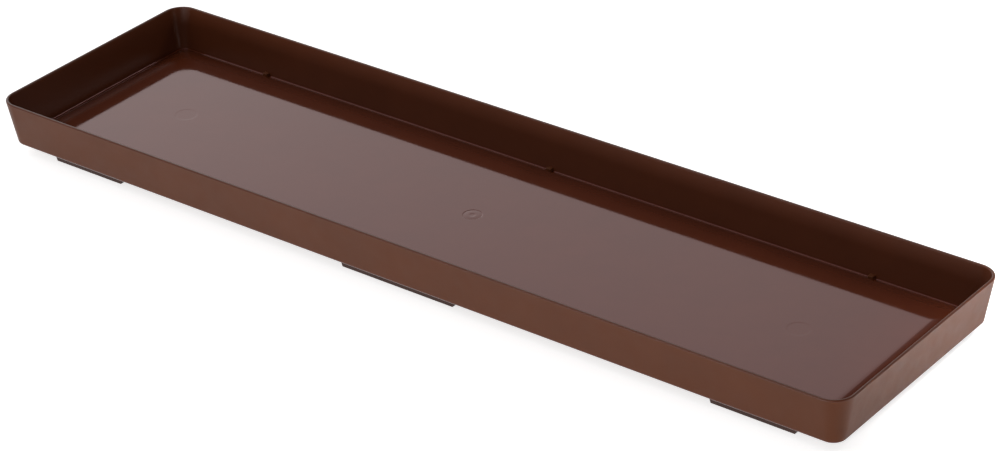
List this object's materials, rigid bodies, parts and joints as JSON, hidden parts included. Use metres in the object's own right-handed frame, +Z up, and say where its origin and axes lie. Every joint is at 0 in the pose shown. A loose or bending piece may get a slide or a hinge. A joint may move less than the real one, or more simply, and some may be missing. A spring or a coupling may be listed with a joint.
{
  "type": "balcony planter drip tray",
  "caption": "Long shallow drip tray for a balcony planter: leaning wall with rounded corners, raised floor with a rolled border, and strip feet.",
  "frame": {"origin": "centre of the tray in plan, at the level of the soles", "axes": "+X along the length, +Y from the front to the rear long wall, +Z up"},
  "size_m": [0.6, 0.163, 0.0359],
  "materials": {
    "tray_plastic": "glossy inside, satin outside",
    "foot_plastic": "satin"
  },
  "bodies": {
    "root": {"tray": "tray_plastic", "front_left_foot": "foot_plastic", "front_middle_foot": "foot_plastic", "front_right_foot": "foot_plastic", "rear_left_foot": "foot_plastic", "rear_middle_foot": "foot_plastic", "rear_right_foot": "foot_plastic"}
  },
  "joints": []
}
